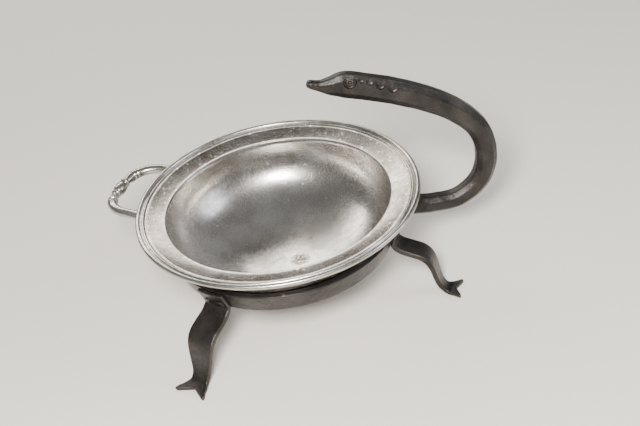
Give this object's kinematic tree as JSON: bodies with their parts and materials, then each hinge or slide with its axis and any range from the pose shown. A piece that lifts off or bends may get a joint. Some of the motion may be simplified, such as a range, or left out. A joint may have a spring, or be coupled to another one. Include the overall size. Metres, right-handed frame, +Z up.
{
  "type": "bowl on a forged table stand",
  "caption": "Wide-rimmed pewter bowl with a loop handle, resting loose in a forged iron hoop on strap legs with a bird-neck handle.",
  "frame": {"origin": "on the table, under the middle of the whole object's bounding box", "axes": "+X from the bowl's axis towards the bird-neck handle's bend, +Z up, +Y to the left of +X seen from above"},
  "size_m": [0.3318, 0.2684, 0.1993],
  "materials": {
    "pewter": "satin, hand-worn pewter with light scratches and tarnish spots",
    "iron": "dark oxidised forged iron, waxed to a low sheen"
  },
  "bodies": {
    "stand": {"hoop": "iron", "leg_front": "iron", "leg_right": "iron", "leg_back": "iron", "neck_handle": "iron", "rivet_leg_front_a": "iron", "rivet_leg_front_b": "iron", "rivet_leg_right_a": "iron", "rivet_leg_right_b": "iron", "rivet_leg_back_a": "iron", "rivet_leg_back_b": "iron", "rivet_neck_a": "iron", "rivet_neck_b": "iron"},
    "bowl": {"bowl": "pewter", "loop_handle": "pewter"}
  },
  "joints": [
    {"name": "bowl_lift", "type": "slide", "parent": "stand", "child": "bowl", "axis": [0, 0, 1], "range_m": [0, 0.055]}
  ]
}
